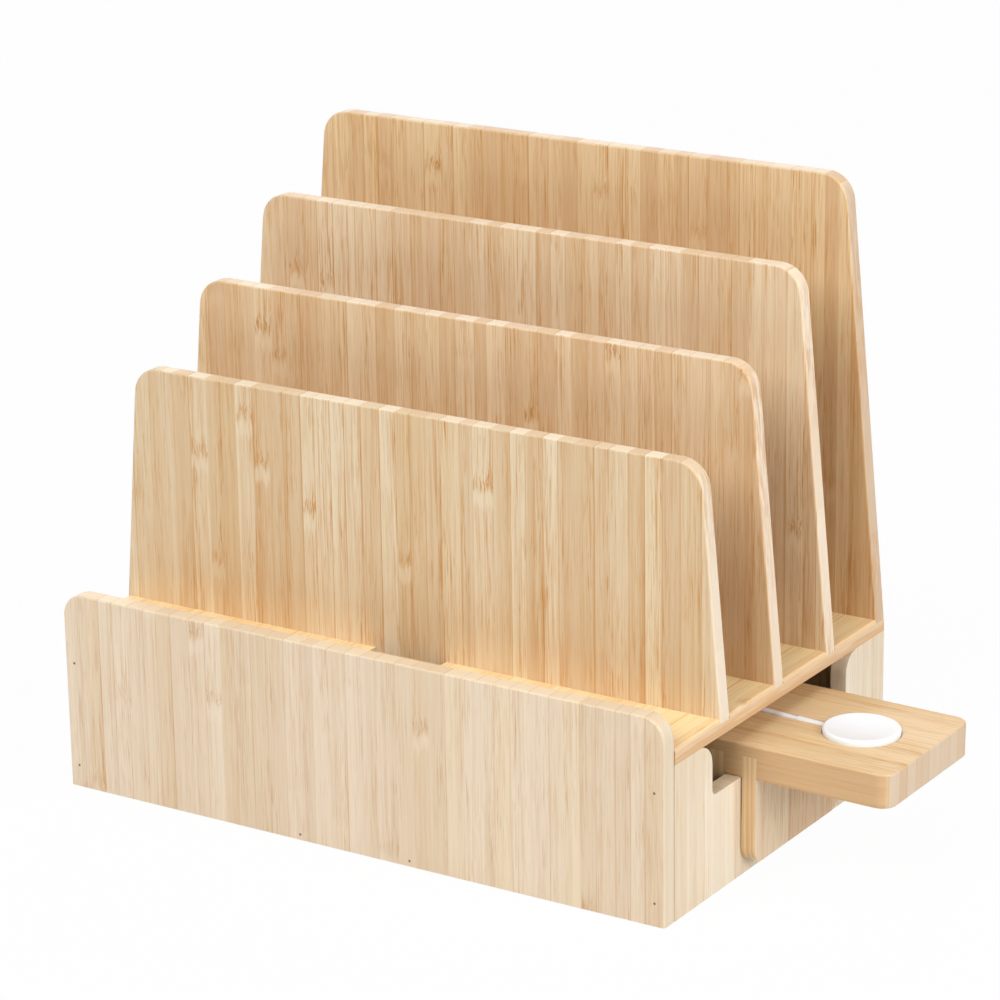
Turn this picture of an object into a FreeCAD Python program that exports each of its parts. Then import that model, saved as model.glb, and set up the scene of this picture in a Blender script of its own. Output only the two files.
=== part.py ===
"""Desk charging station organizer in bamboo: an open-topped cord box, a lift-off lid that carries four
upright dividers, and a hook-on side tray with a round charging puck and its cord.

Frame: millimetres, X to the right, Y to the back, Z up. The origin is the middle of the box's underside.
"""
import FreeCAD, Part
import math
import os

Vec = FreeCAD.Vector

# Box
base_width = 260.0
base_depth = 163.5
wall_height = 58.3
front_height = 77.2
front_thickness = 7.0
front_corner_radius = 9.0
side_thickness = 6.3
back_thickness = 6.3
bottom_thickness = 4.3
edge_ease = 0.8

# Notch in the top edge of each side panel
notch_front_margin = 26.3
notch_width = 99.8
notch_depth = 20.6
notch_mouth_radius = 8.5
notch_floor_radius = 2.5

# Brads through the front panel into the side and bottom panels
brad_diameter = 1.0
brad_length = 22.0
brad_end_margin = 8.6
brads_per_side = 2
bottom_brad_spread = 24.0

# Lid shelf and its battens
shelf_thickness = 5.9
shelf_ease = 1.4
lid_clearance = 0.4
batten_width = 8.0
batten_height = 6.0
batten_clearance = 0.6
batten_cable_gap = 3.0

# Dividers, counted from the front
divider_names = ("front_divider", "second_divider", "third_divider", "back_divider")
divider_thickness = 6.4
divider_pitch = 39.3
front_divider_top = 156.4
divider_rise = 25.3
divider_taper = 5.17
divider_corner_radius = 11.0
dado_depth = 1.4

# Cable cut-outs in the shelf, one in front of each divider
cutout_width = 31.0
cutout_depth = 18.0
cutout_radius = 5.0

# Countersunk screws up through the shelf into the dividers
screw_diameter = 3.0
screw_head_diameter = 6.0
screw_length = 18.0
screw_spread = 85.0

# Side tray and its two hook plates
tray_width = 64.1
tray_thickness = 12.9
tray_reach = 58.7
tray_front_gap = 20.2
tray_shoulder = 7.6
tray_outer_radius = 6.0
tray_inner_radius = 3.0
hook_thickness = 5.6
hook_clearance = 0.65
hook_foot_gap = 0.18
outer_hook_drop = 32.5
inner_hook_drop = 29.0
hook_dado_depth = 8.3
hook_corner_radius = 6.0

# Charging puck in the tray's recess
puck_diameter = 28.2
puck_height = 7.6
puck_setback = 27.6
puck_gap = 0.3
recess_depth = 5.5
puck_wall = 1.2
puck_floor = 1.0
puck_cover_height = 1.6
puck_cover_thickness = 1.0
puck_rim_radius = 1.0
puck_dish_depth = 1.1
puck_foot_radius = 0.6
board_diameter = 23.0
board_thickness = 0.8
shield_diameter = 22.0
shield_thickness = 0.8
winding_diameter = 20.0
winding_bore = 11.0
winding_height = 1.8
magnet_diameter = 9.0
magnet_height = 2.6

# Cord, its strain relief and the groove that it lies in
cord_diameter = 2.7
relief_length = 11.4
relief_start_diameter = 3.6
relief_end_diameter = 3.3
exit_drop = 1.4
exit_rise = 0.048
groove_width = 3.8
groove_puck_depth = 3.4
groove_inner_depth = 1.25

# Route of the cord from the strain relief to the coil, and from the coil to the plug
lead_first_run = 13.0
lead_points = [
    (103.0, 3.4, 51.6), (87.5, 6.5, 40.0), (76.0, 13.5, 23.5), (63.5, 21.0, 11.2), (50.0, 24.95, 6.85),
]
tail_points = [(22.5, 24.95, 10.05), (9.5, 22.6, 9.0), (-3.0, 21.6, 8.0)]

# Coil of the put-away cord, on the compartment's floor
coil_centre = (36.0, 3.45)
coil_outer_radius = 21.5
coil_pitch = 3.2
coil_layer_rise = 3.2
coil_lift = 1.2
lower_half_turns = 8
upper_half_turns = 7

# Tie round the coil
tie_width = 5.0
tie_thickness = 0.6
tie_clearance = 0.3

# Plug on the cord's end
plug_length = 20.0
plug_width = 15.5
plug_thickness = 7.0
plug_corner_radius = 2.5
plug_floor_gap = 0.2
plug_back = -13.0
shell_length = 12.0
shell_width = 12.0
shell_height = 4.5
shell_wall = 0.35
shell_corner_radius = 0.5
shell_seat = 4.0
tongue_thickness = 1.9
tongue_length = 9.0

# Places worked out from the sizes above
half_width = base_width / 2
front_face = -base_depth / 2
back_face = base_depth / 2
front_panel_back = front_face + front_thickness
side_inner = half_width - side_thickness
back_panel_front = back_face - back_thickness
shelf_top = wall_height + shelf_thickness
dado_floor = shelf_top - dado_depth
notch_front = front_panel_back + notch_front_margin
notch_back = notch_front + notch_width
notch_floor = wall_height - notch_depth
tray_top = notch_floor + tray_thickness
tray_front = notch_front + tray_front_gap
tray_back = tray_front + tray_width
tray_middle = (tray_front + tray_back) / 2
tray_outer = half_width + tray_reach
outer_hook = half_width + hook_clearance
inner_hook = side_inner - hook_clearance - hook_thickness
tray_inner = inner_hook - tray_shoulder
tray_pivot = Vec(half_width, 0, notch_floor)
tray_sag = math.degrees(math.asin((hook_clearance - hook_foot_gap) / outer_hook_drop))
puck_x = tray_outer - puck_setback
puck_base = tray_top - recess_depth
puck_radius = puck_diameter / 2
cord_radius = cord_diameter / 2
coil_floor_z = bottom_thickness + coil_lift + cord_radius


def rounded_wire(corners, place):
    """Closed wire through (a, b, radius) corners, each rounded by a tangent arc and put in space by place."""
    count = len(corners)
    cuts = []
    for index, (a, b, radius) in enumerate(corners):
        here = Vec(a, b, 0)
        to_last = (Vec(*corners[index - 1][:2], 0) - here).normalize()
        to_next = (Vec(*corners[(index + 1) % count][:2], 0) - here).normalize()
        half = to_last.getAngle(to_next) / 2
        reach = radius / math.tan(half)
        middle = here + (to_last + to_next).normalize() * (radius / math.sin(half) - radius)
        cuts.append((here + to_last * reach, middle, here + to_next * reach, radius))
    edges = []
    for index, (start, middle, end, radius) in enumerate(cuts):
        if radius > 0:
            edges.append(Part.Arc(*[place(p.x, p.y) for p in (start, middle, end)]).toShape())
        following = cuts[(index + 1) % count][0]
        edges.append(Part.LineSegment(place(end.x, end.y), place(following.x, following.y)).toShape())
    return Part.Wire(edges)


def board_along_y(corners, y, thickness):
    """Board whose (x, z) outline lies at y and which is that thick towards the back."""
    return Part.Face(rounded_wire(corners, lambda a, b: Vec(a, y, b))).extrude(Vec(0, thickness, 0))


def board_along_x(corners, x, thickness):
    """Board whose (y, z) outline lies at x and which is that thick towards the right."""
    return Part.Face(rounded_wire(corners, lambda a, b: Vec(x, a, b))).extrude(Vec(thickness, 0, 0))


def board_along_z(corners, z, thickness):
    """Board whose (x, y) outline lies at z and which is that thick upwards."""
    return Part.Face(rounded_wire(corners, lambda a, b: Vec(a, b, z))).extrude(Vec(0, 0, thickness))


def rectangle(a0, b0, a1, b1, radius=0.0):
    """Corners of a rectangle, all with one radius."""
    return [(a0, b0, radius), (a1, b0, radius), (a1, b1, radius), (a0, b1, radius)]


def block(x0, x1, y0, y1, z0, z1):
    """Plain box between two corners."""
    return Part.makeBox(x1 - x0, y1 - y0, z1 - z0, Vec(x0, y0, z0))


def eased(solid, radius, chosen):
    """The solid with a small round on each edge whose box passes the chosen test."""
    edges = [edge for edge in solid.Edges if chosen(edge.BoundBox)]
    return solid.makeFillet(radius, edges)


def front_panel():
    """Full-width front board, rounded at its top corners and standing above the shelf as a lip."""
    corners = [
        (-half_width, 0, 0), (half_width, 0, 0),
        (half_width, front_height, front_corner_radius), (-half_width, front_height, front_corner_radius),
    ]
    panel = board_along_y(corners, front_face, front_thickness)
    return eased(panel, edge_ease, lambda box: box.YLength < edge_ease and box.ZMax > edge_ease)


def side_panel(x):
    """Side wall with its outer or inner face at x, notched in its top edge for cords and for the tray."""
    corners = [
        (front_panel_back, 0, 0), (back_face, 0, 0), (back_face, wall_height, 0),
        (notch_back, wall_height, notch_mouth_radius), (notch_back, notch_floor, notch_floor_radius),
        (notch_front, notch_floor, notch_floor_radius), (notch_front, wall_height, notch_mouth_radius),
        (front_panel_back, wall_height, 0),
    ]
    return board_along_x(corners, x, side_thickness)


def back_panel():
    """Back wall between the side walls."""
    return block(-side_inner, side_inner, back_panel_front, back_face, 0, wall_height)


def bottom_panel():
    """Floor of the compartment, inside the four walls and level with their undersides."""
    return block(-side_inner, side_inner, front_panel_back, back_panel_front, 0, bottom_thickness)


def front_brads():
    """Brads driven through the front panel into the edges of the side walls and the floor."""
    step = (wall_height - 2 * brad_end_margin) / (brads_per_side - 1)
    x = half_width - 0.64 * side_thickness
    heads = [
        Vec(side * x, front_face, brad_end_margin + row * step)
        for side in (-1, 1) for row in range(brads_per_side)
    ]
    heads += [Vec(side * bottom_brad_spread, front_face, bottom_thickness / 2) for side in (-1, 1)]
    inwards = Vec(0, 1, 0)
    brads = [Part.makeCylinder(brad_diameter / 2, brad_length, head, inwards) for head in heads]
    return Part.makeCompound(brads)


def divider_front(index):
    """Y of a divider's front face. The last divider is flush with the back of the shelf."""
    return back_face - divider_thickness - (len(divider_names) - 1 - index) * divider_pitch


def divider(index):
    """Upright board with slanted sides, rounded top corners and a foot that sits in the shelf's dado."""
    top = front_divider_top + index * divider_rise
    half_top = half_width - (top - shelf_top) * math.tan(math.radians(divider_taper))
    corners = [
        (-half_width, dado_floor, 0), (half_width, dado_floor, 0), (half_width, shelf_top, 0),
        (half_top, top, divider_corner_radius), (-half_top, top, divider_corner_radius),
        (-half_width, shelf_top, 0),
    ]
    board = board_along_y(corners, divider_front(index), divider_thickness)
    return eased(board, edge_ease, lambda box: box.YLength < edge_ease and box.ZMax > shelf_top + edge_ease)


def divider_screws():
    """Countersunk screws, three to a divider, with their heads flush in the shelf's underside."""
    radius = screw_diameter / 2
    head_radius = screw_head_diameter / 2
    head_height = head_radius - radius
    screws = []
    for index in range(len(divider_names)):
        y = divider_front(index) + divider_thickness / 2
        for x in (-screw_spread, 0, screw_spread):
            head = Part.makeCone(head_radius, radius, head_height, Vec(x, y, wall_height))
            shank_base = Vec(x, y, wall_height + head_height)
            shank = Part.makeCylinder(radius, screw_length - head_height, shank_base)
            screws.append(head.fuse(shank).removeSplitter())
    return Part.makeCompound(screws)


def lid_shelf():
    """Shelf over the compartment, with a through dado for each divider and a cable cut-out before each."""
    front = front_panel_back + lid_clearance
    shelf = block(-half_width, half_width, front, back_face, wall_height, shelf_top)
    shelf = eased(shelf, shelf_ease, lambda box: box.ZMin > shelf_top - edge_ease and box.XLength < edge_ease)
    for index in range(len(divider_names)):
        y = divider_front(index)
        shelf = shelf.cut(block(-base_width, base_width, y, y + divider_thickness, dado_floor, front_height))
        left, right = -cutout_width / 2, cutout_width / 2
        corners = [
            (left, y - cutout_depth, cutout_radius), (right, y - cutout_depth, cutout_radius),
            (right, y, 0), (left, y, 0),
        ]
        shelf = shelf.cut(board_along_z(corners, 0, front_height))
    return shelf


def front_batten():
    """Strip glued under the shelf behind the front panel. It keeps the lid in place inside the walls."""
    reach = side_inner - batten_clearance
    y = front_panel_back + batten_clearance
    return block(-reach, reach, y, y + batten_width, wall_height - batten_height, wall_height)


def back_batten(side):
    """Strip glued under the shelf before the back wall, on one side of the last cable cut-out."""
    ends = sorted((side * (cutout_width / 2 + batten_cable_gap), side * (side_inner - batten_clearance)))
    y = back_panel_front - batten_clearance
    return block(ends[0], ends[1], y - batten_width, y, wall_height - batten_height, wall_height)


def hung(shape):
    """The shape turned down with the tray, which hangs until its outer plate's foot meets the side wall."""
    shape.rotate(tray_pivot, Vec(0, 1, 0), tray_sag)
    return shape


def hung_point(point):
    """A point turned down with the tray."""
    return tray_pivot + FreeCAD.Rotation(Vec(0, 1, 0), tray_sag).multVec(point - tray_pivot)


def hook_plate(x, drop):
    """Plate that hangs from the tray beside the side wall, rounded at its lower corners."""
    foot = notch_floor - drop
    top = notch_floor + hook_dado_depth
    corners = [
        (tray_front, foot, hook_corner_radius), (tray_back, foot, hook_corner_radius),
        (tray_back, top, 0), (tray_front, top, 0),
    ]
    return board_along_x(corners, x, hook_thickness)


def tray_board():
    """Tray with two dadoes below for the hook plates, a round recess and a sloping cord groove above."""
    corners = [
        (tray_inner, tray_front, tray_inner_radius), (tray_outer, tray_front, tray_outer_radius),
        (tray_outer, tray_back, tray_outer_radius), (tray_inner, tray_back, tray_inner_radius),
    ]
    tray = board_along_z(corners, notch_floor, tray_thickness)
    tray = eased(tray, edge_ease, lambda box: box.ZLength < edge_ease)
    for x in (outer_hook, inner_hook):
        dado = block(x, x + hook_thickness, tray_front, tray_back, notch_floor, notch_floor + hook_dado_depth)
        tray = tray.cut(dado)
    recess = Part.makeCylinder(puck_radius + puck_gap, recess_depth, Vec(puck_x, tray_middle, puck_base))
    section = Part.makePolygon([
        Vec(puck_x, 0, tray_top), Vec(puck_x, 0, tray_top - groove_puck_depth),
        Vec(puck_x - puck_radius - puck_gap, 0, tray_top - groove_puck_depth),
        Vec(tray_inner, 0, tray_top - groove_inner_depth), Vec(tray_inner, 0, tray_top),
        Vec(puck_x, 0, tray_top),
    ])
    groove = Part.Face(section).extrude(Vec(0, groove_width, 0))
    groove.translate(Vec(0, tray_middle - groove_width / 2, 0))
    return tray.cut(recess).cut(groove)


def turned(profile, x, y, z):
    """Solid made by turning a closed (radius, height) wire about the upright line at x, y."""
    solid = Part.Face(profile).revolve(Vec(0, 0, 0), Vec(0, 0, 1), 360)
    solid.translate(Vec(x, y, z))
    return solid


def puck_housing():
    """White cup of the puck, standing on the recess floor."""
    top = puck_height - puck_cover_height
    inner = puck_radius - puck_wall
    corners = [
        (0, 0, 0), (puck_radius, 0, puck_foot_radius), (puck_radius, top, 0),
        (inner, top, 0), (inner, puck_floor, 0), (0, puck_floor, 0),
    ]
    return turned(rounded_wire(corners, lambda a, b: Vec(a, 0, b)), puck_x, tray_middle, puck_base)


def puck_face():
    """Cover of the puck: a rounded rim round a shallow dish that seats the back of a watch."""
    low = puck_height - puck_cover_height
    rim_turn = puck_radius - puck_rim_radius
    dish_radius = (rim_turn ** 2 + puck_dish_depth ** 2) / (2 * puck_dish_depth)
    dish_floor = puck_height - puck_dish_depth
    middle = rim_turn / 2
    dish_middle = dish_floor + dish_radius - math.sqrt(dish_radius ** 2 - middle ** 2)
    inner = puck_radius - puck_wall
    shoulder = puck_height - puck_rim_radius
    slant = puck_rim_radius * math.sqrt(0.5)
    under = low - puck_cover_thickness / 2

    def point(radius, height):
        return Vec(radius, 0, height)

    edges = [
        Part.LineSegment(point(0, under), point(inner, under)).toShape(),
        Part.LineSegment(point(inner, under), point(inner, low)).toShape(),
        Part.LineSegment(point(inner, low), point(puck_radius, low)).toShape(),
        Part.LineSegment(point(puck_radius, low), point(puck_radius, shoulder)).toShape(),
        Part.Arc(point(puck_radius, shoulder), point(rim_turn + slant, shoulder + slant),
                 point(rim_turn, puck_height)).toShape(),
        Part.Arc(point(rim_turn, puck_height), point(middle, dish_middle), point(0, dish_floor)).toShape(),
        Part.LineSegment(point(0, dish_floor), point(0, under)).toShape(),
    ]
    return turned(Part.Wire(edges), puck_x, tray_middle, puck_base)


def puck_disc(diameter, height, z, bore=0.0):
    """Disc or ring inside the puck, standing z above the puck's underside."""
    place = Vec(puck_x, tray_middle, puck_base + z)
    disc = Part.makeCylinder(diameter / 2, height, place)
    if bore > 0:
        disc = disc.cut(Part.makeCylinder(bore / 2, height, place))
    return disc


def cord_exit():
    """Point on the puck's axis that the cord points at, and the cord's direction away from the puck."""
    slope = math.hypot(1, exit_rise)
    away = Vec(-1 / slope, 0, exit_rise / slope)
    wall = Vec(puck_x - puck_radius, tray_middle, tray_top - exit_drop)
    return wall, away


def lead_route(coil_start):
    """Points of the cord from the strain relief, straight on at first, to the start of the coil."""
    wall, away = cord_exit()
    start = hung_point(wall + away * relief_length)
    onward = hung_point(wall + away * (relief_length + lead_first_run))
    print("cord_lead start", [round(c, 3) for c in start], "then", [round(c, 3) for c in onward])
    return [start, onward, *lead_points, coil_start]


def strain_relief():
    """Tapered sleeve on the cord, cut to lie against the puck's round wall."""
    wall, away = cord_exit()
    overlap = puck_wall
    sleeve = Part.makeCone(relief_start_diameter / 2, relief_end_diameter / 2, relief_length + overlap,
                           wall - away * overlap, away)
    return sleeve.cut(Part.makeCylinder(puck_radius, puck_height, Vec(puck_x, tray_middle, puck_base)))


def cord_tube(name, points):
    """Tube along straight runs joined by tangent arcs, each as large as its two runs allow."""
    points = [Vec(*point) for point in points]
    edges = []
    radii = []
    last = points[0]
    for before, here, after in zip(points, points[1:], points[2:]):
        back = before - here
        ahead = after - here
        half_turn = (math.pi - back.getAngle(ahead)) / 2
        reach = 0.45 * min(back.Length, ahead.Length)
        radius = reach / math.tan(half_turn)
        back.normalize()
        ahead.normalize()
        middle = here + (back + ahead).normalize() * (radius / math.cos(half_turn) - radius)
        edges.append(Part.LineSegment(last, here + back * reach).toShape())
        edges.append(Part.Arc(here + back * reach, middle, here + ahead * reach).toShape())
        last = here + ahead * reach
        radii.append(round(radius, 1))
    edges.append(Part.LineSegment(last, points[-1]).toShape())
    path = Part.Wire(edges)
    tube = swept_cord(path)
    print(name, "bend radii", radii)
    report_cord(name, path, tube)
    return tube


def swept_cord(path):
    """Round cord section carried along a path."""
    start = path.Edges[0]
    heading = start.tangentAt(start.FirstParameter)
    section = Part.Wire(Part.makeCircle(cord_radius, start.valueAt(start.FirstParameter), heading))
    return path.makePipeShell([section], True, False)


def report_cord(name, path, tube):
    """Print a tube's length and how its volume compares with section times length."""
    expected = math.pi * cord_radius ** 2 * path.Length
    print(name, "length", round(path.Length, 1), "volume ratio", round(tube.Volume / expected, 4))


def coil_path():
    """Path of the coil: it spirals in on the floor, climbs a layer in a half turn and spirals out again.

    Each half turn is a half circle that ends on the line through the middle along Y, so its ends run along X.
    """
    x, y = coil_centre
    here = Vec(x, y + coil_outer_radius, coil_floor_z)
    radius = coil_outer_radius
    edges = [Part.LineSegment(here + Vec(cord_diameter, 0, 0), here).toShape()]
    side = 1
    half_turns = lower_half_turns + 1 + upper_half_turns
    for turn in range(half_turns):
        climb = coil_layer_rise if turn == lower_half_turns else 0.0
        end = here + Vec(0, -2 * radius * side, climb)
        tilted_radius = (end - here).Length / 2
        middle = (here + end) * 0.5 + Vec(-side * tilted_radius, 0, 0)
        edges.append(Part.Arc(here, middle, end).toShape())
        radius += (-1 if turn < lower_half_turns else 1) * coil_pitch / 2
        here = end
        side = -side
    edges.append(Part.LineSegment(here, here - Vec(side * cord_diameter, 0, 0)).toShape())
    return Part.Wire(edges)


def least_gap(path):
    """Least gap between stretches of a coiled cord that lie more than half a turn apart along it."""
    points = path.discretize(Number=900)
    step = path.Length / (len(points) - 1)
    apart = int(2 * math.pi * (coil_outer_radius - lower_half_turns * coil_pitch / 2) / step * 0.6)
    distances = (points[i].distanceToPoint(points[j])
                 for i in range(len(points)) for j in range(i + apart, len(points)))
    return min(distances) - cord_diameter


def cord_tie(path):
    """Flat band round all the turns on the coil's front side."""
    x, y = coil_centre
    crossing = [p for p in path.discretize(Number=900) if abs(p.x - x) < tie_width / 2 and p.y < y]
    gap = cord_radius + tie_clearance
    y0 = min(p.y for p in crossing) - gap
    y1 = max(p.y for p in crossing) + gap
    z0 = coil_floor_z - gap
    z1 = coil_floor_z + coil_layer_rise + gap
    wall = tie_thickness
    side = x - tie_width / 2
    outer = board_along_x(rectangle(y0 - wall, z0 - wall, y1 + wall, z1 + wall, gap), side, tie_width)
    inner = board_along_x(rectangle(y0, z0, y1, z1, gap - wall), side, tie_width)
    return outer.cut(inner)


def plug_axis():
    """Y and Z of the plug's middle line, where the cord's tail comes in."""
    return tail_points[-1][1], bottom_thickness + plug_floor_gap + plug_thickness / 2


def plug_bar(x0, x1, width, height, radius):
    """Bar along X with a rounded rectangular section, centred on the plug's middle line."""
    y, z = plug_axis()
    corners = rectangle(y - width / 2, z - height / 2, y + width / 2, z + height / 2, radius)
    return board_along_x(corners, x0, x1 - x0)


def plug_shell_front():
    """X of the open end of the plug's metal shell."""
    return plug_back - plug_length - shell_length


def plug_shell():
    """Thin rectangular metal sleeve, seated in the plug's housing and open at its end."""
    x0 = plug_shell_front()
    x1 = plug_back - plug_length + shell_seat
    bore = 2 * shell_wall
    outer = plug_bar(x0, x1, shell_width, shell_height, shell_corner_radius)
    inner = plug_bar(x0, x1, shell_width - bore, shell_height - bore, shell_corner_radius - shell_wall)
    return outer.cut(inner)


def plug_tongue():
    """Insulating tongue along the upper half of the metal shell, filling the shell's seat behind it."""
    y, z = plug_axis()
    half = shell_width / 2 - shell_wall
    top = z + shell_height / 2 - shell_wall
    x1 = plug_back - plug_length + shell_seat
    seat = plug_bar(x1 - shell_seat, x1, shell_width - 2 * shell_wall, shell_height - 2 * shell_wall,
                    shell_corner_radius - shell_wall)
    blade = block(x1 - shell_seat - tongue_length, x1 - shell_seat, y - half + shell_corner_radius,
                  y + half - shell_corner_radius, top - tongue_thickness, top)
    return seat.fuse(blade).removeSplitter()


def plug_housing():
    """Moulded body of the plug, with a pocket for the metal shell."""
    x0 = plug_back - plug_length
    body = plug_bar(x0, plug_back, plug_width, plug_thickness, plug_corner_radius)
    body = eased(body, edge_ease, lambda box: box.XLength < edge_ease)
    return body.cut(plug_bar(x0, x0 + shell_seat, shell_width, shell_height, shell_corner_radius))


def build():
    """All pieces by node name."""
    brads = front_brads()
    screws = divider_screws()
    coil = coil_path()
    coil_ends = [vertex.Point for vertex in coil.OrderedVertexes]
    y, z = plug_axis()
    board_z = puck_floor
    shield_z = board_z + board_thickness
    winding_z = shield_z + shield_thickness

    parts = {
        "front_panel": front_panel().cut(brads),
        "left_side_panel": side_panel(-half_width).cut(brads),
        "right_side_panel": side_panel(side_inner).cut(brads),
        "back_panel": back_panel(),
        "bottom_panel": bottom_panel().cut(brads),
        "front_brads": brads,
        "lid_shelf": lid_shelf().cut(screws),
        "divider_screws": screws,
        "front_batten": front_batten(),
        "back_left_batten": back_batten(-1),
        "back_right_batten": back_batten(1),
        "tray_board": hung(tray_board()),
        "outer_hook_plate": hung(hook_plate(outer_hook, outer_hook_drop)),
        "inner_hook_plate": hung(hook_plate(inner_hook, inner_hook_drop)),
        "puck_housing": hung(puck_housing()),
        "puck_face": hung(puck_face()),
        "puck_circuit_board": hung(puck_disc(board_diameter, board_thickness, board_z)),
        "puck_shield": hung(puck_disc(shield_diameter, shield_thickness, shield_z)),
        "charging_coil": hung(puck_disc(winding_diameter, winding_height, winding_z, winding_bore)),
        "alignment_magnet": hung(puck_disc(magnet_diameter, magnet_height, winding_z)),
        "strain_relief": hung(strain_relief()),
        "cord_lead": cord_tube("cord_lead", lead_route(coil_ends[0])),
        "cord_coil": swept_cord(coil),
        "cord_tail": cord_tube("cord_tail", [coil_ends[-1], *tail_points, (plug_back, y, z)]),
        "cord_tie": cord_tie(coil),
        "plug_housing": plug_housing(),
        "plug_shell": plug_shell(),
        "plug_tongue": plug_tongue(),
    }
    for index, name in enumerate(divider_names):
        parts[name] = divider(index).cut(screws)
    report_cord("cord_coil", coil, parts["cord_coil"])
    print("cord_coil least gap", round(least_gap(coil), 2))
    return parts


os.makedirs("parts", exist_ok=True)
for node, shape in build().items():
    shape.exportStep(f"parts/{node}.step")
    print(node, "solids", len(shape.Solids), "valid", shape.isValid(), "volume", round(shape.Volume, 1))
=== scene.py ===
"""Looks of the bamboo charging station organizer: boards, side tray, charging puck, cord and studio."""
import logging
from dataclasses import dataclass, field
from enum import Enum
from typing import Any, Sequence

import bpy
import numpy as np
from mathutils import Matrix, Vector


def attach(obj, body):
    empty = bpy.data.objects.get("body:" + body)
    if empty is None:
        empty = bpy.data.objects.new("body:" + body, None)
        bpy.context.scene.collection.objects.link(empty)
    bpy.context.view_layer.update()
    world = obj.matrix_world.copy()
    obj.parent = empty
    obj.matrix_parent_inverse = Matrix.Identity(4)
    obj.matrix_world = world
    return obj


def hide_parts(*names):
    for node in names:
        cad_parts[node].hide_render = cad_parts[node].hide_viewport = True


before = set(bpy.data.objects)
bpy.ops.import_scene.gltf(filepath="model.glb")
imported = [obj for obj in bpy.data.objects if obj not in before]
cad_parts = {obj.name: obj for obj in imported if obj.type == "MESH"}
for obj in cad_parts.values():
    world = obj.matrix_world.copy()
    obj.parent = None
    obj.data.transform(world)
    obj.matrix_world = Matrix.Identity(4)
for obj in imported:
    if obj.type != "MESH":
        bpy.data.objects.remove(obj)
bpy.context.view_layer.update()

LOG = logging.getLogger("charging_station")
MM = 0.001

Colour = tuple[float, float, float, float]
Point = tuple[float, float, float]
Grains = tuple[float, float]
Socket = bpy.types.NodeSocket


def srgb(red: int, green: int, blue: int) -> Colour:
    """Linear colour of a display colour.

    Each channel is undone from the display curve: c / 12.92 below the knee and ((c + 0.055) / 1.055) ** 2.4
    above it.

    Args:
        red: Display red, 0 to 255.
        green: Display green, 0 to 255.
        blue: Display blue, 0 to 255.

    Returns:
        Linear red, green, blue and an alpha of 1.
    """
    display = np.array([red, green, blue]) / 255.0
    linear = np.where(display <= 0.04045, display / 12.92, ((display + 0.055) / 1.055) ** 2.4)
    return (*(float(c) for c in linear), 1.0)


class Sketch:
    """Places nodes in one node tree and wires them."""

    def __init__(self, tree: bpy.types.NodeTree) -> None:
        """Start on a tree."""
        self.tree = tree

    def put(self, kind: str, **settings: Any) -> bpy.types.Node:
        """A new node with its settings."""
        node = self.tree.nodes.new(kind)
        for name, value in settings.items():
            setattr(node, name, value)
        return node

    def feed(self, socket: Socket, value: Any) -> None:
        """Link a socket into an input, or set the input to a plain value."""
        if isinstance(value, bpy.types.NodeSocket):
            self.tree.links.new(value, socket)
        else:
            socket.default_value = value

    def math(self, operation: str, first: Any, second: Any = 0.0, third: Any = 0.0,
             clamp: bool = False) -> Socket:
        """Result of a Math node.

        Args:
            operation: Blender's name of the operation.
            first: First value or socket.
            second: Second value or socket.
            third: Third value or socket.
            clamp: Whether the result is kept from 0 to 1.

        Returns:
            The result's socket.
        """
        node = self.put("ShaderNodeMath", operation=operation, use_clamp=clamp)
        for socket, value in zip(node.inputs, (first, second, third)):
            self.feed(socket, value)
        return node.outputs[0]

    def ramp(self, value: Any, start: float, end: float, low: float = 0.0, high: float = 1.0) -> Socket:
        """Smooth step of a value from low at start to high at end."""
        node = self.put("ShaderNodeMapRange", interpolation_type="SMOOTHSTEP")
        for name, entry in (("Value", value), ("From Min", start), ("From Max", end), ("To Min", low),
                            ("To Max", high)):
            self.feed(node.inputs[name], entry)
        return node.outputs[0]

    def mix(self, factor: Any, first: Any, second: Any, blend: str = "MIX") -> Socket:
        """Colour between two colours."""
        node = self.put("ShaderNodeMix", data_type="RGBA", blend_type=blend)
        for index, value in ((0, factor), (6, first), (7, second)):
            self.feed(node.inputs[index], value)
        return node.outputs[2]

    def vector(self, across: Any, depth: Any, along: Any) -> Socket:
        """Three values as one vector."""
        node = self.put("ShaderNodeCombineXYZ")
        for socket, value in zip(node.inputs, (across, depth, along)):
            self.feed(socket, value)
        return node.outputs[0]

    def noise(self, vector: Socket, detail: float = 2.0) -> Socket:
        """Soft noise of unit grain size."""
        node = self.put("ShaderNodeTexNoise", noise_dimensions="3D")
        self.feed(node.inputs["Vector"], vector)
        node.inputs["Scale"].default_value = 1.0
        node.inputs["Detail"].default_value = detail
        node.inputs["Roughness"].default_value = 0.55
        return node.outputs[0]

    def chance(self, value: Socket) -> list[Socket]:
        """Three random values from 0 to 1 for each whole value."""
        node = self.put("ShaderNodeTexWhiteNoise", noise_dimensions="1D")
        self.feed(node.inputs["W"], value)
        split = self.put("ShaderNodeSeparateColor")
        self.feed(split.inputs[0], node.outputs["Color"])
        return list(split.outputs)


FLOAT = "NodeSocketFloat"
COLOUR = "NodeSocketColor"
PLAIN: Colour = (0.8, 0.8, 0.8, 1.0)
CLOUD_SIZE = 9 * MM
GRAIN_DEPTH = 0.03 * MM
SKIN_OUTPUTS = (("Color", COLOUR), ("Roughness", FLOAT), ("Height", FLOAT))


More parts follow.
